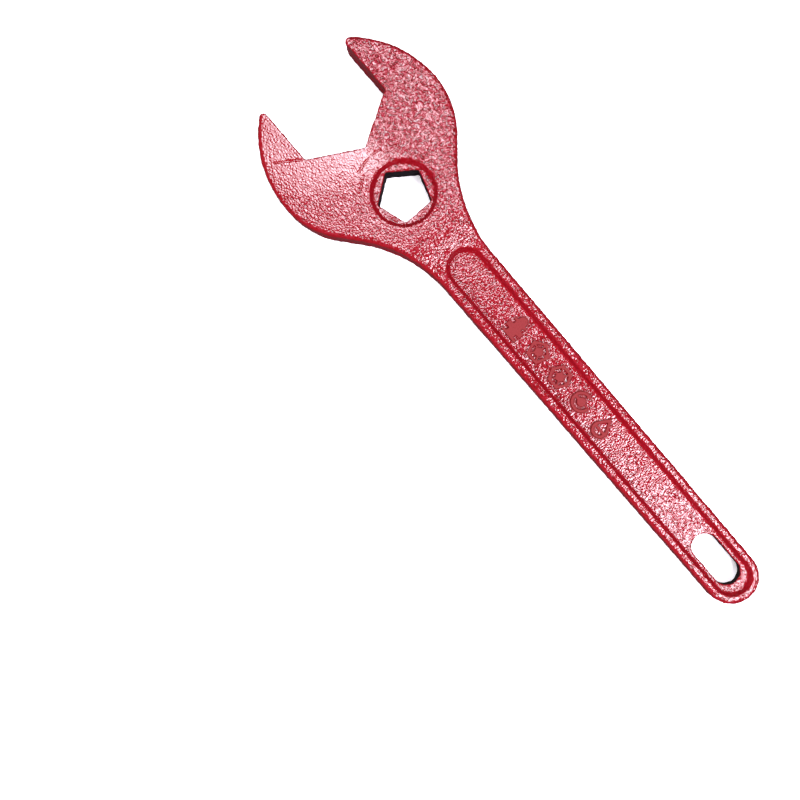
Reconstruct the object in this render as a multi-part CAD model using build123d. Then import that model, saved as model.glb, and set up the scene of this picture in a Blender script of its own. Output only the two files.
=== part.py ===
from build123d import *
import math
import os

# Fire hydrant wrench: one flat casting with an open hexagonal mouth, a pentagonal through socket and a
# long handle with a sunk panel and a hanging slot. Millimetres. The back lies on z = 0 with the front
# face up, the origin is on the socket's axis, +X runs towards the handle's end and the outline is the
# same on both sides of the X axis.
# The casting is made whole and then divided into regions that meet face to face.

# Thickness
HEAD_THICKNESS = 18.0
HANDLE_THICKNESS = 13.0
BOSS_FLAT = 2.2  # flat face round the recess before it falls from the head to the handle
TAPER_LENGTH = 36.0
OUTER_ROUNDING = 2.5  # outer edges of the casting
MOUTH_ROUNDING = 0.8  # edges of the mouth, which are crisper
POCKET_ROUNDING = 0.8  # rims and feet of the recess walls
HOLE_ROUNDING = 0.8  # edges of the socket and the slot

# Pentagonal socket and the round recess in the front face that it sits in
SOCKET_HEIGHT = 30.0  # from a corner to the opposite flat
SOCKET_CORNER = 1.2
SOCKET_LEDGE = 1.2  # recess floor left between a corner and the foot of the wall
RECESS_DEPTH = 3.5
RECESS_WALL_RUN = 2.0  # how far the wall leans in on its way down
BOSS_WALL = 5.2  # metal of the boss outside the rim

# Hexagonal mouth
MOUTH_FLATS = 61.5
MOUTH_ROOT_WALL = 14.9  # from the recess's rim to the mouth's root corner
ROOT_ROUNDING = 2.5
CORNER_ROUNDING = 1.5
TIP_ROUNDING = 2.9
TIP_PROUD = 0.12  # the tip's arc crosses the nose rather than only touching it

# Head outline
JAW_DEPTH = 27.25  # from a mouth flat to the widest point of the head
WIDEST_AHEAD = 4.3  # widest point ahead of the mouth's root
NOSE_RADIUS = 67.0  # front arc of a jaw
CHEEK_RADIUS = 51.3  # rear arc of a jaw
SHOULDER_ANGLE = 40.0  # straight stretch between the cheek and the neck, from the X axis
NECK_RADIUS = 84.0

# Handle outline
HANDLE_REACH = 310.0  # from the socket's axis to the handle's end
HANDLE_WIDTH = 35.2  # where it leaves the neck
END_WIDTH = 32.2  # at the rounded end

# Sunk panel, the same on both faces
PANEL_START = 45.0
RAIL_WIDTH = 4.2  # metal left beside the panel where the round end starts
PANEL_DEPTH = 3.5
PANEL_WALL_RUN = 1.9
END_RIM = 4.5  # from the panel's rim to the handle's end

# Hanging slot
SLOT_LENGTH = 34.4
SLOT_SIDE_FLOOR = 2.15  # panel floor left beside the slot
SLOT_END_FLOOR = 5.3  # panel floor left between the slot and the foot of the end wall

# Raised marks on the panel's floor
MARK_START = 102.0
MARK_PITCH = 19.3
MARK_MARGIN = 2.5  # from a mark to the foot of the panel's wall
MARK_STROKE = 1.8
MARK_RELIEF = 1.0

# Where the regions meet
BOSS_TO_NECK = 5.0  # jaw metal between the boss and the neck
RAIL_CLEAR_OF_SLOT = 6.0  # rails stop this far before the slot

# Places that follow from the sizes above
socket_radius = SOCKET_HEIGHT / (1 + math.cos(math.radians(36)))
recess_foot_radius = socket_radius + SOCKET_LEDGE
recess_radius = recess_foot_radius + RECESS_WALL_RUN
taper_start = recess_radius + BOSS_FLAT
boss_radius = recess_radius + BOSS_WALL
neck_start = boss_radius + BOSS_TO_NECK
root_x = -(recess_radius + MOUTH_ROOT_WALL)
mouth_half = MOUTH_FLATS / 2
mouth_corner_x = root_x - mouth_half / math.tan(math.radians(60))
widest_x = root_x - WIDEST_AHEAD
widest_y = mouth_half + JAW_DEPTH
nose_centre = (widest_x, widest_y - NOSE_RADIUS)
panel_end = HANDLE_REACH - END_RIM
panel_radius = END_WIDTH / 2 - RAIL_WIDTH
panel_foot_radius = panel_radius - PANEL_WALL_RUN
panel_first_centre = PANEL_START + panel_radius
panel_last_centre = panel_end - panel_radius
slot_radius = panel_foot_radius - SLOT_SIDE_FLOOR
slot_end = panel_end - PANEL_WALL_RUN - SLOT_END_FLOOR
slot_start = slot_end - SLOT_LENGTH
eye_start = slot_start - RAIL_CLEAR_OF_SLOT
web_top = HANDLE_THICKNESS - PANEL_DEPTH
mark_height = 2 * (panel_foot_radius - MARK_MARGIN)
far = 2 * HANDLE_REACH  # larger than the wrench in every direction
TOUCH = 0.01  # faces this near to a place count as there


def on_arc(centre, radius, degrees):
    """The point of an arc at this angle from +X."""
    angle = math.radians(degrees)
    return (centre[0] + radius * math.cos(angle), centre[1] + radius * math.sin(angle))


def arc(centre, radius, start, end):
    """An arc between two angles from +X."""
    middle = on_arc(centre, radius, (start + end) / 2)
    return ThreePointArc(on_arc(centre, radius, start), middle, on_arc(centre, radius, end))


def both_halves(edges):
    """One face from the edges of its +Y half and their mirror images."""
    half = Curve() + edges
    return make_face(half + mirror(half, Plane.XZ))


def outline_face():
    """The whole outline, with the mouth still filled."""
    cheek_centre = (widest_x, widest_y - CHEEK_RADIUS)
    nose_angle = 180 - math.degrees(math.asin(-nose_centre[1] / NOSE_RADIUS))
    shoulder_angle = 90 - SHOULDER_ANGLE
    shoulder = on_arc(cheek_centre, CHEEK_RADIUS, shoulder_angle)

    # The side of the handle leans in towards the end, where it touches the round end.
    end_radius = END_WIDTH / 2
    end_centre = (HANDLE_REACH - end_radius, 0)
    lean = math.degrees(math.atan((HANDLE_WIDTH - END_WIDTH) / 2 / (HANDLE_REACH - neck_start)))
    side_end = on_arc(end_centre, end_radius, 90 - lean)

    # The shoulder line and the handle's side meet in a corner that the neck's radius rounds.
    shoulder_slope = -math.tan(math.radians(SHOULDER_ANGLE))
    side_slope = -math.tan(math.radians(lean))
    gap = shoulder[1] - side_end[1] - shoulder_slope * shoulder[0] + side_slope * side_end[0]
    corner_x = gap / (side_slope - shoulder_slope)
    corner = (corner_x, side_end[1] + side_slope * (corner_x - side_end[0]))
    tangent = NECK_RADIUS * math.tan(math.radians((SHOULDER_ANGLE - lean) / 2))
    neck_in = on_arc(corner, tangent, 180 - SHOULDER_ANGLE)
    neck_out = on_arc(corner, tangent, -lean)
    neck_centre = on_arc(neck_out, NECK_RADIUS, 90 - lean)

    return both_halves(
        [
            arc(nose_centre, NOSE_RADIUS, nose_angle, 90),
            arc(cheek_centre, CHEEK_RADIUS, 90, shoulder_angle),
            Line(shoulder, neck_in),
            arc(neck_centre, NECK_RADIUS, 270 - SHOULDER_ANGLE, 270 - lean),
            Line(neck_out, side_end),
            arc(end_centre, end_radius, 90 - lean, 0),
        ]
    )


def thickness_profile():
    """The casting seen from the side: thick head, thinner handle, and a smooth fall between them."""
    half_drop = (HEAD_THICKNESS - HANDLE_THICKNESS) / 2
    half_run = TAPER_LENGTH / 2
    # Two equal arcs, each tangent to its flat, meet in the middle of the fall.
    bend = (half_run**2 + half_drop**2) / (2 * half_drop)
    turn = math.degrees(math.asin(half_run / bend))
    taper_end = taper_start + TAPER_LENGTH
    outline = [
        Line((-far, 0), (-far, HEAD_THICKNESS)),
        Line((-far, HEAD_THICKNESS), (taper_start, HEAD_THICKNESS)),
        arc((taper_start, HEAD_THICKNESS - bend), bend, 90, 90 - turn),
        arc((taper_end, HANDLE_THICKNESS + bend), bend, 270 - turn, 270),
        Line((taper_end, HANDLE_THICKNESS), (far, HANDLE_THICKNESS)),
        Line((far, HANDLE_THICKNESS), (far, 0)),
        Line((far, 0), (-far, 0)),
    ]
    return extrude(Plane.XZ * make_face(Curve() + outline), amount=far, both=True)


def upright(face):
    return abs(face.normal_at().Z) < 0.1


def level(face):
    return abs(face.normal_at().Z) > 0.9


def edges_between(body, first, second):
    """Edges where a face that first picks meets a face that second picks."""
    others = set(edge for face in body.faces() if second(face) for edge in face.edges())
    return [edge for face in body.faces() if first(face) for edge in face.edges() if edge in others]


def blank():
    """The casting before its mouth, recesses, socket and slot are cut."""
    body = extrude(outline_face(), amount=HEAD_THICKNESS) & thickness_profile()
    return fillet(edges_between(body, upright, level), OUTER_ROUNDING)


def mouth_face():
    """What the mouth removes: the hexagon, the space ahead of it and the corners of the jaw tips."""
    reach = nose_centre[0] - 2 * NOSE_RADIUS
    # A jaw's tip is an arc that touches the mouth's flat and crosses the nose just inside its edge.
    rise = mouth_half + TIP_ROUNDING - nose_centre[1]
    swing = NOSE_RADIUS - TIP_ROUNDING + TIP_PROUD
    tip_centre = (nose_centre[0] - math.sqrt(swing**2 - rise**2), mouth_half + TIP_ROUNDING)
    tip_angle = 180 - math.degrees(math.asin(rise / swing))
    tip_top = on_arc(tip_centre, TIP_ROUNDING, tip_angle)
    outside = on_arc(tip_centre, 2 * TIP_ROUNDING, tip_angle)
    face = both_halves(
        [
            Line((root_x, 0), (mouth_corner_x, mouth_half)),
            Line((mouth_corner_x, mouth_half), (tip_centre[0], mouth_half)),
            arc(tip_centre, TIP_ROUNDING, 270, tip_angle),
            Line(tip_top, outside),
            Line(outside, (reach, outside[1])),
            Line((reach, outside[1]), (reach, 0)),
        ]
    )
    root = face.vertices().sort_by_distance((root_x, 0))[0]
    face = fillet(root, ROOT_ROUNDING)
    for side in (1, -1):
        corner = face.vertices().sort_by_distance((mouth_corner_x, side * mouth_half))[0]
        face = fillet(corner, CORNER_ROUNDING)
    return face


def through(face):
    """A cutter that passes right through the casting."""
    return Pos(0, 0, -HEAD_THICKNESS) * extrude(face, amount=3 * HEAD_THICKNESS)


def cut_hole(body, face, rounding):
    """Cuts a face right through the body and rounds the edges of the hole."""
    box = face.bounding_box()
    body -= through(face)

    def in_hole(wall):
        place = wall.center()
        across = box.min.X - TOUCH < place.X < box.max.X + TOUCH
        return across and box.min.Y - TOUCH < place.Y < box.max.Y + TOUCH and upright(wall)

    return fillet(edges_between(body, in_hole, level), rounding)


def cut_pocket(body, foot, depth, run, top, both_faces):
    """Sinks a pocket in the front face, at top. Its wall widens by run from its floor to the face."""
    lean = math.atan(run / depth)
    cutter = extrude(foot, amount=2 * depth, taper=-math.degrees(lean))
    before = set(body.faces())
    body -= Pos(0, 0, top - depth) * cutter
    if both_faces:
        body -= Pos(0, 0, depth) * mirror(cutter, Plane.XY)

    def leaning(face):
        return face not in before and abs(abs(face.normal_at().Z) - math.sin(lean)) < 0.01

    return fillet(edges_between(body, leaning, level), POCKET_ROUNDING)


def slot_face(first_x, last_x, radius):
    """A slot along the X axis between two end centres."""
    return Pos((first_x + last_x) / 2, 0) * SlotCenterToCenter(last_x - first_x, 2 * radius)


def socket_face():
    """The pentagon, with a corner towards the mouth and a flat towards the handle."""
    pentagon = RegularPolygon(socket_radius, 5, rotation=180)
    return fillet(pentagon.vertices(), SOCKET_CORNER)


def casting():
    """The whole casting, without the raised marks."""
    recess = Circle(recess_foot_radius)
    panel = slot_face(panel_first_centre, panel_last_centre, panel_foot_radius)
    slot = slot_face(slot_start + slot_radius, slot_end - slot_radius, slot_radius)
    body = cut_hole(blank(), mouth_face(), MOUTH_ROUNDING)
    body = cut_pocket(body, recess, RECESS_DEPTH, RECESS_WALL_RUN, HEAD_THICKNESS, both_faces=False)
    body = cut_pocket(body, panel, PANEL_DEPTH, PANEL_WALL_RUN, HANDLE_THICKNESS, both_faces=True)
    body = cut_hole(body, socket_face(), HOLE_ROUNDING)
    return cut_hole(body, slot, HOLE_ROUNDING)


def bar(start, end, width):
    """A straight stroke with square ends between two points."""
    run = Vector(*end) - Vector(*start)
    middle = (Vector(*start) + Vector(*end)) / 2
    return Pos(middle) * Rot(0, 0, math.degrees(math.atan2(run.Y, run.X))) * Rectangle(run.length, width)


def ring(face):
    """The band just inside a face's outline."""
    return face - offset(face, -MARK_STROKE)


def wheel_face(sides, radius, turn):
    """A many-sided ring with a hub and a spoke to every corner."""
    face = ring(RegularPolygon(radius, sides, rotation=turn)) + Circle(1.5 * MARK_STROKE)
    for spoke in range(sides):
        angle = turn + 360 * spoke / sides
        face += bar((0, 0), on_arc((0, 0), radius - MARK_STROKE, angle), 0.6 * MARK_STROKE)
    return face


def drop_face():
    """A water drop with a level line."""
    radius = 0.34 * mark_height
    centre = (0, radius - mark_height / 2)
    rise = mark_height - radius
    touch = math.degrees(math.asin(radius / rise))
    right = on_arc(centre, radius, touch)
    cone = make_face(Polyline((0, mark_height / 2), right, centre, (-right[0], right[1]), close=True))
    drop = cone + Pos(*centre) * Circle(radius)
    return ring(drop) + (drop & bar((-radius, centre[1]), (radius, centre[1]), MARK_STROKE))


def hydrant_face():
    """A hydrant: dome, flange, barrel, two outlets and foot."""
    half = mark_height / 2
    barrel = 0.2 * mark_height
    shoulder = half - barrel
    foot = MARK_STROKE / 2 - half
    face = bar((0, -half), (0, shoulder), 2 * barrel) + Pos(0, shoulder) * Circle(barrel)
    face += bar((-1.6 * barrel, shoulder - MARK_STROKE), (1.6 * barrel, shoulder - MARK_STROKE), MARK_STROKE)
    face += bar((-2 * barrel, -MARK_STROKE), (2 * barrel, -MARK_STROKE), 2 * MARK_STROKE)
    return face + bar((-1.8 * barrel, foot), (1.8 * barrel, foot), MARK_STROKE)


def arrow_face():
    """A round arrow that shows a turn, on a hub that it joins at one side."""
    radius = 0.36 * mark_height
    head = mark_height / 2 - radius
    band = Circle(radius + MARK_STROKE / 2) - Circle(radius - MARK_STROKE / 2)
    face = band - Pos(radius, radius) * Rectangle(2 * radius, 2 * radius)
    tip = (1.6 * head, radius)
    face += make_face(Polyline((0, radius + head), tip, (0, radius - head), close=True))
    return face + bar((-radius, 0), (0, 0), MARK_STROKE) + Circle(1.5 * MARK_STROKE)


def marks():
    """The raised marks, in order along the handle."""
    faces = {
        "hydrant_mark": hydrant_face(),
        "pentagon_mark": wheel_face(5, mark_height / 2, 90),
        "hexagon_mark": wheel_face(6, mark_height / 2, 0),
        "arrow_mark": arrow_face(),
        "drop_mark": drop_face(),
    }
    solids = {}
    for place, (name, face) in enumerate(faces.items()):
        solids[name] = Pos(MARK_START + place * MARK_PITCH, 0, web_top) * extrude(face, amount=MARK_RELIEF)
    return solids


def block(first, last):
    """A box between two corners in plan that is taller than the casting."""
    size = (last[0] - first[0], last[1] - first[1])
    middle = ((first[0] + last[0]) / 2, (first[1] + last[1]) / 2)
    return through(Pos(*middle) * Rectangle(*size))


def regions():
    """The casting divided where a pattern maker would divide it."""
    body = casting()
    boss = through(Circle(boss_radius))
    recess = through(Circle(recess_foot_radius))
    web_half = panel_foot_radius - POCKET_ROUNDING
    head = body - boss
    handle = body & block((panel_first_centre, -far), (eye_start, far))
    return {
        "upper_jaw": head & block((-far, 0), (neck_start, far)),
        "lower_jaw": head & block((-far, -far), (neck_start, 0)),
        "socket_boss": (body & boss) - recess,
        "socket_floor": body & recess,
        "neck": body & block((neck_start, -far), (panel_first_centre, far)),
        "handle_web": handle & block((panel_first_centre, -web_half), (eye_start, web_half)),
        "upper_rail": handle & block((panel_first_centre, web_half), (eye_start, far)),
        "lower_rail": handle & block((panel_first_centre, -far), (eye_start, -web_half)),
        "hanging_eye": body & block((eye_start, -far), (far, far)),
    }


os.makedirs("parts", exist_ok=True)
for node, solid in {**regions(), **marks()}.items():
    solid.label = node
    export_step(solid, f"parts/{node}.step")
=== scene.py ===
import bpy
import math
import numpy as np
from mathutils import Matrix, Vector, kdtree, noise


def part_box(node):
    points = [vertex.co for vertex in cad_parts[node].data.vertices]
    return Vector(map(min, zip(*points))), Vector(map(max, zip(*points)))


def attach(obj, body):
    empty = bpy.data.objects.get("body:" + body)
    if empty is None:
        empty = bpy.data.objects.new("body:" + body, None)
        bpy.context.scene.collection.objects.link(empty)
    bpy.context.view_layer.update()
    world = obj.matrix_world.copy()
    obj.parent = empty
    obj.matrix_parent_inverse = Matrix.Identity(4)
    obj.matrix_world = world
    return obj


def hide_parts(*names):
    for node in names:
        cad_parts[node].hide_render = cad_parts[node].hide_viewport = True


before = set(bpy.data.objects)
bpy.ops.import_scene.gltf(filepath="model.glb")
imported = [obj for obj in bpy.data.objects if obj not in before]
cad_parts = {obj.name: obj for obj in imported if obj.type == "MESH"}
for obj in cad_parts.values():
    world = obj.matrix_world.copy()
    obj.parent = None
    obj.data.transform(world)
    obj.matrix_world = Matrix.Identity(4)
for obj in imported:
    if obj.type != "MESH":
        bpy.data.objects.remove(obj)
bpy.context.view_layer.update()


# ---------------------------------------------------------------------------
# Camera
# It stands half a metre above the front face and a little towards the head, so
# the walls of the socket nearest the mouth show.
# ---------------------------------------------------------------------------
camera_place = Vector((0.0956, -0.055, 0.500))
camera_aim = Vector((0.08985, -0.0801, 0.012))
camera_roll = math.radians(49.41)
lens_share = 1.0346
view = (camera_aim - camera_place).normalized()
roll_up = Vector((-math.sin(camera_roll), math.cos(camera_roll), 0))
right = view.cross(roll_up).normalized()
up = right.cross(view)
camera = bpy.data.objects.new("camera", bpy.data.cameras.new("camera"))
bpy.context.scene.collection.objects.link(camera)
camera.matrix_world = Matrix.Translation(camera_place) @ Matrix((right, up, -view)).transposed().to_4x4()
camera.data.sensor_width = 36.0
camera.data.lens = camera.data.sensor_width * lens_share
camera.data.clip_start = 0.01
bpy.context.scene.camera = camera


# ---------------------------------------------------------------------------
# The casting
# One pour of iron in a sand mould: head, socket, neck and handle together. The sand
# leaves a grain all over, coarser on the upper jaw, and the edges come out uneven.
# ---------------------------------------------------------------------------
skin_voxel = 0.00038
waves_height = 0.00030
edge_height = 0.00075
leather_height = 0.00054
sand_height = 0.00026
waves_size, edge_size, leather_size, sand_size = 0.020, 0.0030, 0.0014, 0.0009
boss_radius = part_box("socket_boss")[1].y
mouth_half, mouth_root = 0.03075, -0.0347
mouth_corner = (mouth_root - mouth_half / math.sqrt(3), -mouth_half)
tip_middle = 1.35
lower_flats = [(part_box("lower_jaw")[0].x, -tip_middle * mouth_half), mouth_corner, (mouth_root, 0)]
wall_slope, face_slope, front_slope, bore_slope = (0.5, 0.85), (0.80, 0.95), (0.5, 0.8), (0.45, 0.75)
rubbed_reach, rubbed_side, rubbed_share = (0.010, 0.028), (-0.004, 0.008), 0.55
leather_side, leather_back = (-0.004, 0.020), (0.020, 0.045)
leather_elsewhere, wall_share = 0.20, 0.2
grain_levels = 24
grain_range = 0.0004
parting_height = 0.0065
flash_half_width = 0.0005
flash_proud = 0.00035
flash_least = 0.6
wander_pitch = 260
wander_reach = 0.0006
socket_reach, boss_reach = 0.0172, 0.0240
socket_fade, slot_fade = 0.0003, (0.0004, 0.0010)
slot_start, slot_end, slot_half = 0.2639, 0.2983, 0.00785
scar_half_width = 0.0010
scar_depth = 0.00028
seam_length, seam_bearing = 0.018, 235
recess_wrinkles = ((168, 205, 1.15), (206, 225, 1.0), (142, 160, 1.1))
shoulder_wrinkles = ((115, 2.1), (96, 1.45), (78, 1.2))
wrinkle_length, wrinkle_turn = 0.007, 45
web_pits = ((0.15, 0.4), (0.30, 0.2), (0.65, 0.55))
pit_length, pit_bearing = 0.004, 30
# The reach of the painted shade on the web round the raised marks, and how much the grain calms under it.
mark_shade_margin, mark_shade_reach, pool_smoothing = 0.002, (0.0002, 0.0009), 0.5


def alone(piece):
    """Selects one object and nothing else."""
    bpy.ops.object.select_all(action="DESELECT")
    piece.select_set(True)
    bpy.context.view_layer.objects.active = piece


def merged_copy(nodes, name):
    """A new object with the CAD nodes' surfaces, their loose triangles merged."""
    bpy.ops.object.select_all(action="DESELECT")
    for node in nodes:
        copy = bpy.data.objects.new(name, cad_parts[node].data.copy())
        copy.data.materials.clear()
        bpy.context.scene.collection.objects.link(copy)
        copy.select_set(True)
        bpy.context.view_layer.objects.active = copy
    if len(nodes) > 1:
        bpy.ops.object.join()
    bpy.ops.object.mode_set(mode="EDIT")
    bpy.ops.mesh.select_all(action="SELECT")
    bpy.ops.mesh.remove_doubles(threshold=1e-6)
    bpy.ops.object.mode_set(mode="OBJECT")
    return bpy.context.object


def apply_modifier(piece, kind, **settings):
    """Adds one modifier to a piece and applies it."""
    alone(piece)
    modifier = piece.modifiers.new(kind.lower(), kind)
    for setting, value in settings.items():
        setattr(modifier, setting, value)
    bpy.ops.object.modifier_apply(modifier=modifier.name)


def keep_largest(piece):
    """Drops every loose shell but the largest."""
    alone(piece)
    bpy.ops.object.mode_set(mode="EDIT")
    bpy.ops.mesh.select_all(action="SELECT")
    bpy.ops.mesh.separate(type="LOOSE")
    bpy.ops.object.mode_set(mode="OBJECT")
    shells = sorted(bpy.context.selected_objects, key=lambda shell: len(shell.data.vertices))
    for shell in shells[:-1]:
        bpy.data.objects.remove(shell)
    return shells[-1]


def coordinates(piece, what="co"):
    """The piece's points, or their normals, as rows of three numbers."""
    source = piece.data.vertices if what == "co" else piece.data.vertex_normals
    values = np.zeros(len(source) * 3, np.float32)
    source.foreach_get("co" if what == "co" else "vector", values)
    return values.reshape(-1, 3)


def smooth_step(low, high, values):
    share = np.clip((values - low) / (high - low), 0, 1)
    return share * share * (3 - 2 * share)


def weight_group(piece, name, weights):
    """A vertex group with one weight for each point, in a few even levels."""
    group = piece.vertex_groups.new(name=name)
    levels = np.rint(weights * grain_levels).astype(int)
    for level in range(1, grain_levels + 1):
        group.add(np.flatnonzero(levels == level).tolist(), level / grain_levels, "REPLACE")


def write_mask(piece, name, values):
    """A number for each point of the skin, which the enamel reads."""
    attribute = piece.data.attributes.new(name, "FLOAT", "POINT")
    attribute.data.foreach_set("value", values.astype(np.float32))


def relief(piece, name, kind, size, height, group, **settings):
    """Moves the skin in and out by a noise of this size."""
    texture = bpy.data.textures.new(name, kind)
    texture.noise_scale = size
    for setting, value in settings.items():
        setattr(texture, setting, value)
    apply_modifier(piece, "DISPLACE", texture=texture, texture_coords="LOCAL",
                   strength=height, mid_level=0.5, vertex_group=group)


def from_line(flat, path):
    """How far each point is from a line of straight runs, seen from the front."""
    nearest = np.full(len(flat), np.inf, np.float32)
    for start, end in zip(path[:-1], path[1:]):
        along = np.array(end) - np.array(start)
        share = np.clip((flat - start) @ along / (along @ along), 0, 1)
        nearest = np.minimum(nearest, np.linalg.norm(flat - start - share[:, None] * along, axis=1))
    return nearest


def from_start(start, degrees, distance):
    """The point this far from a start, in this direction on the front face."""
    turn = math.radians(degrees)
    return (start[0] + distance * math.cos(turn), start[1] + distance * math.sin(turn))


# A seam across the lower jaw, wrinkles round the recess and on the shoulder, and pits
# in the bare stretch of the web between the last mark and the slot.
scars = [[mouth_corner, from_start(mouth_corner, seam_bearing, seam_length)]]
for first, last, share in recess_wrinkles:
    scars.append([from_start((0, 0), turn, share * boss_radius) for turn in np.linspace(first, last, 4)])
for turn, share in shoulder_wrinkles:
    start = from_start((0, 0), turn, share * boss_radius)
    scars.append([start, from_start(start, turn - wrinkle_turn, wrinkle_length)])
marks_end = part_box("drop_mark")[1].x
for share, across in web_pits:
    start = (marks_end + share * (slot_start - marks_end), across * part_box("handle_web")[1].y)
    scars.append([start, from_start(start, pit_bearing, pit_length)])

casting_nodes = sorted(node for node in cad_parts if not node.endswith("_mark"))
casting = merged_copy(casting_nodes, "casting")
apply_modifier(casting, "REMESH", mode="VOXEL", voxel_size=skin_voxel)
casting = keep_largest(casting)
apply_modifier(casting, "SMOOTH", factor=0.5, iterations=3)

# Masks from the smooth skin: walls, the rubbed flats, the upper jaw, and the bores, whose walls take
# painted shade.
points, normals = coordinates(casting), coordinates(casting, "normal")
x, y = points[:, 0], points[:, 1]
sideways = 1 - smooth_step(*wall_slope, np.abs(normals[:, 2]))
from_lower_flats = from_line(points[:, :2], lower_flats)
rubbed = (1 - smooth_step(*rubbed_reach, from_lower_flats)) * (1 - smooth_step(*rubbed_side, y))
on_upper_jaw = smooth_step(*leather_side, y) * (1 - smooth_step(*leather_back, x))
from_socket = np.hypot(x, y)
from_slot = np.hypot(x - np.clip(x, slot_start + slot_half, slot_end - slot_half), y)
in_socket = 1 - smooth_step(socket_reach, socket_reach + socket_fade, from_socket)
in_slot = 1 - smooth_step(slot_half + slot_fade[0], slot_half + slot_fade[1], from_slot)
outer_wall = (1 - in_slot) * (from_socket > boss_reach)
# Painted shade: the walls of the socket hole and the hanging slot are painted near black.
bore_shade = smooth_step(*bore_slope, 1 - np.abs(normals[:, 2])) * np.maximum(in_socket, in_slot)
weight_group(casting, "all", np.ones(len(points)))
weight_group(casting, "edges", sideways)
on_faces = smooth_step(*face_slope, np.abs(normals[:, 2]))
rough = (wall_share + (1 - wall_share) * on_faces) * (1 - rubbed_share * rubbed)
weight_group(casting, "leather", (leather_elsewhere + (1 - leather_elsewhere) * on_upper_jaw) * rough)
weight_group(casting, "sand", rough)
relief(casting, "mould_waves", "CLOUDS", waves_size, waves_height, "all", noise_depth=1)
relief(casting, "edge_waves", "CLOUDS", edge_size, edge_height, "edges", noise_depth=1)

# The scars are pressed in from the front, and the parting line stands proud of the walls.
points, normals = coordinates(casting), coordinates(casting, "normal")
facing_front = smooth_step(*front_slope, normals[:, 2])
wander = np.array([noise.noise(Vector(point) * wander_pitch) for point in points])
sunk = np.zeros(len(points))
for path in scars:
    crooked = from_line(points[:, :2], path) + wander_reach * wander
    sunk += scar_depth * (1 - smooth_step(0, scar_half_width, crooked))
flash = np.exp(-((points[:, 2] - parting_height) / flash_half_width) ** 2) * sideways * outer_wall
flash_height = flash_proud * (flash_least + wander)
shift = normals * (flash * flash_height)[:, None]
shift[:, 2] -= sunk * facing_front
casting.data.vertices.foreach_set("co", (points + shift).astype(np.float32).ravel())
casting.data.update()

# The grain comes last, so its height alone decides where the enamel is darker in the pits
# (partly deeper enamel, partly painted shade) and paler on the crests (partly thinner enamel,
# partly a painted highlight).
points, normals = coordinates(casting), coordinates(casting, "normal")
relief(casting, "leather", "CLOUDS", leather_size, leather_height, "leather", noise_depth=0)
relief(casting, "sand", "CLOUDS", sand_size, sand_height, "sand", noise_depth=0)
grain = np.einsum("ij,ij->i", coordinates(casting) - points, normals)
mark_nodes = sorted(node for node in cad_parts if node.endswith("_mark"))
mark_points = [vertex.co for node in mark_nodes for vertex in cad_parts[node].data.vertices]
near_mark = kdtree.KDTree(len(mark_points))
for index, point in enumerate(mark_points):
    near_mark.insert(point, index)
near_mark.balance()
marks_first, marks_last = min(p.x for p in mark_points), max(p.x for p in mark_points)
# Painted shade on the web round the foot of each raised mark, darkest next to it. The same mask dulls and
# calms the grain there.
on_web = (x > marks_first - mark_shade_margin) & (x < marks_last + mark_shade_margin)
on_web &= (np.abs(y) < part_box("handle_web")[1].y) & (normals[:, 2] > 0.5)
heavy_coat_and_shade = np.zeros(len(points))
for index in np.flatnonzero(on_web):
    heavy_coat_and_shade[index] = near_mark.find(points[index])[2]
heavy_coat_and_shade = on_web * (1 - smooth_step(*mark_shade_reach, heavy_coat_and_shade))
rough = rough * (1 - pool_smoothing * heavy_coat_and_shade)
write_mask(casting, "grain", grain / grain_range + 0.5)
write_mask(casting, "bore_shade", bore_shade)
write_mask(casting, "heavy_coat_and_shade", heavy_coat_and_shade)
write_mask(casting, "rough", rough)


# ---------------------------------------------------------------------------
# Red enamel
# A thick crimson gloss over the raw iron. Its colour is darker in the pits of the grain and
# on and round the raised marks (partly deeper enamel, partly painted shade), paler on the
# crests (partly thinner enamel, partly a painted highlight), and near black in the bores
# (painted shade).
# ---------------------------------------------------------------------------
deep_from, deep_to, crest_from, crest_to = 0.78, 0.94, 0.98, 1.20
deep_gloss, thin_gloss = 0.18, 0.09
pool_dulling, bore_dulling = 0.85, 0.5


def make_group(name, inputs, outputs):
    """An empty node group with named inputs and outputs."""
    group = bpy.data.node_groups.new(name, "ShaderNodeTree")
    for socket, kind, value in inputs:
        made = group.interface.new_socket(socket, in_out="INPUT", socket_type=kind)
        made.default_value = value
    for socket, kind in outputs:
        group.interface.new_socket(socket, in_out="OUTPUT", socket_type=kind)
    return group, group.nodes.new("NodeGroupInput"), group.nodes.new("NodeGroupOutput")


def node(tree, kind, links=(), **settings):
    """One node with its settings, and its inputs linked or set."""
    made = tree.nodes.new(kind)
    for setting, value in settings.items():
        setattr(made, setting, value)
    for socket, value in dict(links).items():
        if isinstance(value, bpy.types.NodeSocket):
            tree.links.new(value, made.inputs[socket])
        else:
            made.inputs[socket].default_value = value
    return made


FLOAT, COLOR = "NodeSocketFloat", "NodeSocketColor"

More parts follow.
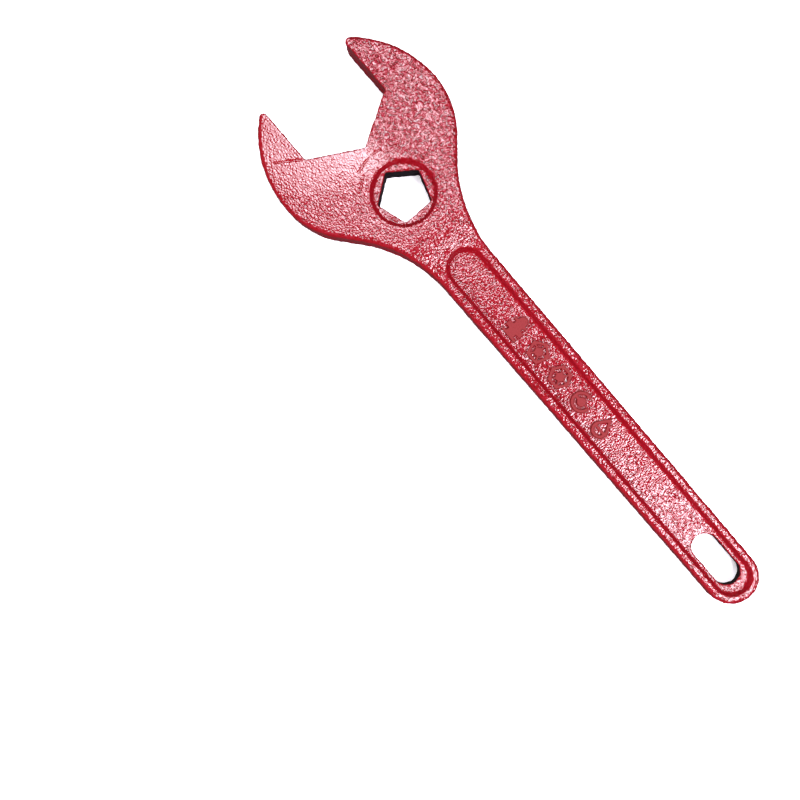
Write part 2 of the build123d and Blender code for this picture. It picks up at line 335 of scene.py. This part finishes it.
grain_group, grain_in, grain_out = make_group(
    "cast_grain",
    [("Fine Size", FLOAT, 1000.0), ("Fine Amount", FLOAT, 0.6), ("Coarse Size", FLOAT, 420.0),
     ("Coarse Amount", FLOAT, 0.4), ("Rough", FLOAT, 1.0)],
    [("Height", FLOAT)])
place = node(grain_group, "ShaderNodeTexCoord").outputs["Object"]
fine = node(grain_group, "ShaderNodeTexNoise",
            {"Vector": place, "Scale": grain_in.outputs["Fine Size"], "Detail": 0.0, "Roughness": 0.5})
coarse = node(grain_group, "ShaderNodeTexNoise",
              {"Vector": place, "Scale": grain_in.outputs["Coarse Size"], "Detail": 0.0, "Roughness": 0.5})
fine_part = node(grain_group, "ShaderNodeMath",
                 {0: fine.outputs["Fac"], 1: grain_in.outputs["Fine Amount"]}, operation="MULTIPLY")
coarse_part = node(grain_group, "ShaderNodeMath",
                   {0: coarse.outputs["Fac"], 1: grain_in.outputs["Coarse Amount"]}, operation="MULTIPLY")
both = node(grain_group, "ShaderNodeMath", {0: fine_part.outputs[0], 1: coarse_part.outputs[0]},
            operation="ADD")
level = node(grain_group, "ShaderNodeMath", {0: both.outputs[0], 1: 0.5}, operation="SUBTRACT")
masked = node(grain_group, "ShaderNodeMath",
              {0: level.outputs[0], 1: grain_in.outputs["Rough"], 2: 0.5}, operation="MULTIPLY_ADD")
grain_group.links.new(masked.outputs[0], grain_out.inputs["Height"])

# The enamel's colour: painted shade in the pits, on and round the marks and in the bores, and a painted
# highlight on the crests.
painted_light_group, painted_light_in, painted_light_out = make_group(
    "enamel_and_painted_light",
    [("Thin Crest Highlight", COLOR, (0.19, 0.010, 0.020, 1)), ("Body", COLOR, (0.165, 0.0020, 0.005, 1)),
     ("Deep Pit Shade", COLOR, (0.09, 0.0008, 0.003, 1)), ("Heavy Enamel Shade", COLOR, (0.13, 0.0004, 0.0012, 1)),
     ("Bore Shade Black", COLOR, (0.004, 0.002, 0.003, 1)),
     ("Height", FLOAT, 0.5), ("Speckle", FLOAT, 0.5), ("Heavy Coat And Shade", FLOAT, 0.0), ("Bore Shade Mask", FLOAT, 0.0)],
    [("Color", COLOR), ("Roughness", FLOAT)])
# Painted shade darkens the pits of the grain, and a painted highlight lightens its crests.
mixed_height = node(painted_light_group, "ShaderNodeMath",
                    {0: painted_light_in.outputs["Height"], 1: painted_light_in.outputs["Speckle"]}, operation="ADD")
deep = node(painted_light_group, "ShaderNodeMapRange",
            {"Value": mixed_height.outputs[0], "From Min": deep_from, "From Max": deep_to})
high = node(painted_light_group, "ShaderNodeMapRange",
            {"Value": mixed_height.outputs[0], "From Min": crest_from, "From Max": crest_to})
body_colour = node(painted_light_group, "ShaderNodeMix",
                   {0: deep.outputs[0], 6: painted_light_in.outputs["Deep Pit Shade"], 7: painted_light_in.outputs["Body"]},
                   data_type="RGBA")
crest_highlight_colour = node(painted_light_group, "ShaderNodeMix",
                    {0: high.outputs[0], 6: body_colour.outputs[2], 7: painted_light_in.outputs["Thin Crest Highlight"]},
                    data_type="RGBA")
# Painted shade: darker on and round the raised marks, partly heavier enamel.
heavy_shade_colour = node(painted_light_group, "ShaderNodeMix",
                     {0: painted_light_in.outputs["Heavy Coat And Shade"], 6: crest_highlight_colour.outputs[2], 7: painted_light_in.outputs["Heavy Enamel Shade"]},
                     data_type="RGBA")
# Painted shade: the bore walls go near black and dull.
bore_shade_colour = node(painted_light_group, "ShaderNodeMix",
                    {0: painted_light_in.outputs["Bore Shade Mask"], 6: heavy_shade_colour.outputs[2],
                     7: painted_light_in.outputs["Bore Shade Black"]}, data_type="RGBA")
gloss = node(painted_light_group, "ShaderNodeMapRange",
             {"Value": deep.outputs[0], "To Min": deep_gloss, "To Max": thin_gloss})
pooled_gloss = node(painted_light_group, "ShaderNodeMath",
                    {0: painted_light_in.outputs["Heavy Coat And Shade"], 1: pool_dulling, 2: gloss.outputs[0]},
                    operation="MULTIPLY_ADD")
dull = node(painted_light_group, "ShaderNodeMath",
            {0: painted_light_in.outputs["Bore Shade Mask"], 1: bore_dulling, 2: pooled_gloss.outputs[0]},
            operation="MULTIPLY_ADD")
painted_light_group.links.new(bore_shade_colour.outputs[2], painted_light_out.inputs["Color"])
painted_light_group.links.new(dull.outputs[0], painted_light_out.inputs["Roughness"])


def enamel(name, fine_size, fine_amount, coarse_size, coarse_amount, bump_depth):
    """Red enamel over a cast skin, with the grain of this part of the casting, and painted shade and a
    painted highlight in its colour.
    """
    material = bpy.data.materials.new(name)
    material.use_nodes = True
    tree = material.node_tree
    shader = tree.nodes["Principled BSDF"]
    grain_node = node(tree, "ShaderNodeGroup", node_tree=grain_group)
    for socket, value in (("Fine Size", fine_size), ("Fine Amount", fine_amount),
                          ("Coarse Size", coarse_size), ("Coarse Amount", coarse_amount)):
        grain_node.inputs[socket].default_value = value
    rough_skin = node(tree, "ShaderNodeAttribute", attribute_name="rough")
    tree.links.new(rough_skin.outputs["Fac"], grain_node.inputs["Rough"])
    # This group paints the shade and highlight into the base colour.
    painted_light_node = node(tree, "ShaderNodeGroup", node_tree=painted_light_group)
    for mask, socket in (("grain", "Height"), ("heavy_coat_and_shade", "Heavy Coat And Shade"), ("bore_shade", "Bore Shade Mask")):
        skin = node(tree, "ShaderNodeAttribute", attribute_name=mask)
        tree.links.new(skin.outputs["Fac"], painted_light_node.inputs[socket])
    tree.links.new(grain_node.outputs["Height"], painted_light_node.inputs["Speckle"])
    tree.links.new(painted_light_node.outputs["Color"], shader.inputs["Base Color"])
    tree.links.new(painted_light_node.outputs["Roughness"], shader.inputs["Roughness"])
    bump = node(tree, "ShaderNodeBump", {"Height": grain_node.outputs["Height"], "Strength": 1.0,
                                         "Distance": bump_depth})
    tree.links.new(bump.outputs["Normal"], shader.inputs["Normal"])
    shader.inputs["Specular IOR Level"].default_value = 0.5
    return material


grain_depth = 0.00044
casting_enamel = enamel("red_enamel_casting", 950.0, 0.75, 480.0, 0.25, grain_depth)


crease_angle = math.radians(50)


def finish_piece(piece, node_name, material):
    """Smooth shading, its enamel, and its place on the frame."""
    piece.data.materials.clear()
    piece.data.materials.append(material)
    alone(piece)
    bpy.ops.object.shade_smooth_by_angle(angle=crease_angle)
    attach(piece, "root")
    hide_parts(node_name)


cutter_sides = 192
cutter_length = 0.06
cutter_middle = 0.009


def cut_from_casting(name, planes, inside=None, outside=None):
    """The part of the casting on the kept side of each plane, and in or out of a cylinder."""
    piece = bpy.data.objects.new(name, casting.data.copy())
    bpy.context.scene.collection.objects.link(piece)
    alone(piece)
    for place, direction in planes:
        bpy.ops.object.mode_set(mode="EDIT")
        bpy.ops.mesh.select_all(action="SELECT")
        bpy.ops.mesh.bisect(plane_co=place, plane_no=direction, use_fill=True, clear_outer=True,
                            threshold=1e-7)
        bpy.ops.object.mode_set(mode="OBJECT")
    for operation, radius in (("INTERSECT", inside), ("DIFFERENCE", outside)):
        if radius is None:
            continue
        bpy.ops.mesh.primitive_cylinder_add(
            vertices=cutter_sides, radius=radius, depth=cutter_length, location=(0, 0, cutter_middle))
        cutter = bpy.context.object
        apply_modifier(piece, "BOOLEAN", operation=operation, object=cutter, solver="EXACT")
        bpy.data.objects.remove(cutter)
    return piece


# ---------------------------------------------------------------------------
# Jaws
# The two arms of the open hexagonal mouth. They run round the socket boss and meet
# behind the mouth's root and in front of the neck.
# ---------------------------------------------------------------------------
neck_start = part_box("neck")[0].x
for name, node_name, side in (
        ("upper_jaw_casting", "upper_jaw", 1),
        ("lower_jaw_casting", "lower_jaw", -1)):
    jaw = cut_from_casting(
        name, [((0, 0, 0), (0, -side, 0)), ((neck_start, 0, 0), (1, 0, 0))], outside=boss_radius)
    finish_piece(jaw, node_name, casting_enamel)


# ---------------------------------------------------------------------------
# Socket
# A ring of iron round the sunk recess, and the recess's floor with the pentagonal
# hole for the hydrant's operating nut.
# ---------------------------------------------------------------------------
floor_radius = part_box("socket_floor")[1].y
trim = boss_radius * 1.02
around_socket = [((-trim, 0, 0), (-1, 0, 0)), ((trim, 0, 0), (1, 0, 0)),
                 ((0, -trim, 0), (0, -1, 0)), ((0, trim, 0), (0, 1, 0))]
boss = cut_from_casting("socket_boss_ring", around_socket, inside=boss_radius, outside=floor_radius)
finish_piece(boss, "socket_boss", casting_enamel)
socket_floor = cut_from_casting("pentagon_socket_floor", around_socket, inside=floor_radius)
finish_piece(socket_floor, "socket_floor", casting_enamel)


# ---------------------------------------------------------------------------
# Neck and handle
# The head narrows into the neck. The handle is an I section: a thin web between two
# rails, sunk on both faces, with a hanging slot through its round end.
# ---------------------------------------------------------------------------
web_start, web_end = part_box("handle_web")[0].x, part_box("handle_web")[1].x
web_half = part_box("handle_web")[1].y
from_neck, to_neck = ((neck_start, 0, 0), (-1, 0, 0)), ((web_start, 0, 0), (1, 0, 0))
from_web, to_web = ((web_start, 0, 0), (-1, 0, 0)), ((web_end, 0, 0), (1, 0, 0))
for name, node_name, planes in (
        ("neck_casting", "neck", [from_neck, to_neck]),
        ("handle_web_casting", "handle_web",
         [from_web, to_web, ((0, web_half, 0), (0, 1, 0)), ((0, -web_half, 0), (0, -1, 0))]),
        ("upper_rail_casting", "upper_rail", [from_web, to_web, ((0, web_half, 0), (0, -1, 0))]),
        ("lower_rail_casting", "lower_rail", [from_web, to_web, ((0, -web_half, 0), (0, 1, 0))]),
        ("hanging_eye_casting", "hanging_eye", [((web_end, 0, 0), (-1, 0, 0))])):
    finish_piece(cut_from_casting(name, planes), node_name, casting_enamel)


# ---------------------------------------------------------------------------
# Raised marks
# Five plain picture signs cast on the web: a hydrant, the two key shapes, the turning
# direction and a drop. Each is soft-edged and runs into the web with a small fillet, and is
# darkened all over with painted shade.
# ---------------------------------------------------------------------------
mark_voxel = 0.00022
mark_sink = 0.0004
mark_stretch = 1.25
mark_sand_share = 0.4
# How strongly painted shade darkens the raised signs all over.
mark_heavy_coat_and_shade = 0.8
mark_rough = 0.15
for node_name in sorted(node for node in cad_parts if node.endswith("_mark")):
    mark = merged_copy([node_name], node_name.replace("_mark", "_sign"))
    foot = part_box(node_name)[0].z
    for vertex in mark.data.vertices:
        if vertex.co.z < foot + 1e-5:
            vertex.co.z -= mark_sink
    apply_modifier(mark, "REMESH", mode="VOXEL", voxel_size=mark_voxel)
    apply_modifier(mark, "SMOOTH", factor=0.5, iterations=6)
    for vertex in mark.data.vertices:
        vertex.co.z = foot + (vertex.co.z - foot) * mark_stretch
    mark_points, mark_normals = coordinates(mark), coordinates(mark, "normal")
    weight_group(mark, "all", np.ones(len(mark_points)))
    relief(mark, "mark_sand", "CLOUDS", sand_size, mark_sand_share * sand_height, "all", noise_depth=0)
    mark_grain = np.einsum("ij,ij->i", coordinates(mark) - mark_points, mark_normals)
    write_mask(mark, "grain", mark_grain / grain_range + 0.5)
    # The whole sign is darkened with painted shade.
    write_mask(mark, "heavy_coat_and_shade", np.full(len(mark_points), mark_heavy_coat_and_shade))
    write_mask(mark, "rough", np.full(len(mark_points), mark_rough))
    finish_piece(mark, node_name, casting_enamel)

bpy.data.objects.remove(casting)


# ---------------------------------------------------------------------------
# Floor and light
# A plain pale floor under soft studio light. Three soft boxes hang where the jaws, the
# shoulder and the end of the handle mirror them to the camera, and one lights the side.
# The floor is pale to the camera only, so the casting doesn't mirror it.
# ---------------------------------------------------------------------------
bpy.ops.mesh.primitive_plane_add(size=6.0, location=(0.1, 0, -0.0005))
floor = bpy.context.object
floor.name = "floor"
floor_paint = bpy.data.materials.new("pale_floor")
floor_paint.use_nodes = True
floor_tree = floor_paint.node_tree
floor_shader = floor_tree.nodes["Principled BSDF"]
seen = node(floor_tree, "ShaderNodeLightPath").outputs["Is Camera Ray"]
floor_tone = node(floor_tree, "ShaderNodeMix",
                  {0: seen, 6: (0.04, 0.04, 0.04, 1), 7: (0.93, 0.93, 0.94, 1)}, data_type="RGBA")
floor_tree.links.new(floor_tone.outputs[2], floor_shader.inputs["Base Color"])
floor_glow = node(floor_tree, "ShaderNodeMix",
                  {0: seen, 6: (0, 0, 0, 1), 7: (1, 1, 1, 1)}, data_type="RGBA")
floor_tree.links.new(floor_glow.outputs[2], floor_shader.inputs["Emission Color"])
floor_shader.inputs["Roughness"].default_value = 0.9
floor_shader.inputs["Specular IOR Level"].default_value = 0.0
floor_shader.inputs["Emission Strength"].default_value = 0.35
floor.data.materials.append(floor_paint)


def softbox(name, place, aim, size, power):
    """One oblong soft light, turned towards its aim."""
    light = bpy.data.objects.new(name, bpy.data.lights.new(name, "AREA"))
    light.data.shape = "RECTANGLE"
    light.data.size, light.data.size_y = size
    light.data.energy = power
    light.data.color = (0.97, 0.90, 1.0)
    light.matrix_world = (Matrix.Translation(place)
                          @ (Vector(aim) - Vector(place)).to_track_quat("-Z", "Y").to_matrix().to_4x4())
    bpy.context.scene.collection.objects.link(light)
    return light


softbox("jaw_light", (-0.235, 0.05, 0.62), (-0.02, 0, 0), (0.25, 0.32), 2.6)
softbox("shoulder_light", (-0.16, 0.20, 0.64), (0.0, 0.03, 0), (0.36, 0.20), 3.9)
softbox("handle_light", (0.50, 0.07, 0.62), (0.25, 0, 0), (0.36, 0.24), 9.3)
side_light = softbox("side_light", (0.06, -0.80, 0.45), (0.08, 0, 0), (0.60, 0.30), 10.0)
side_light.visible_glossy = False

world = bpy.data.worlds.new("studio")
world.use_nodes = True
world.node_tree.nodes["Background"].inputs["Color"].default_value = (1, 1, 1, 1)
world.node_tree.nodes["Background"].inputs["Strength"].default_value = 0.16
bpy.context.scene.world = world
bpy.context.scene.view_settings.view_transform = "Standard"
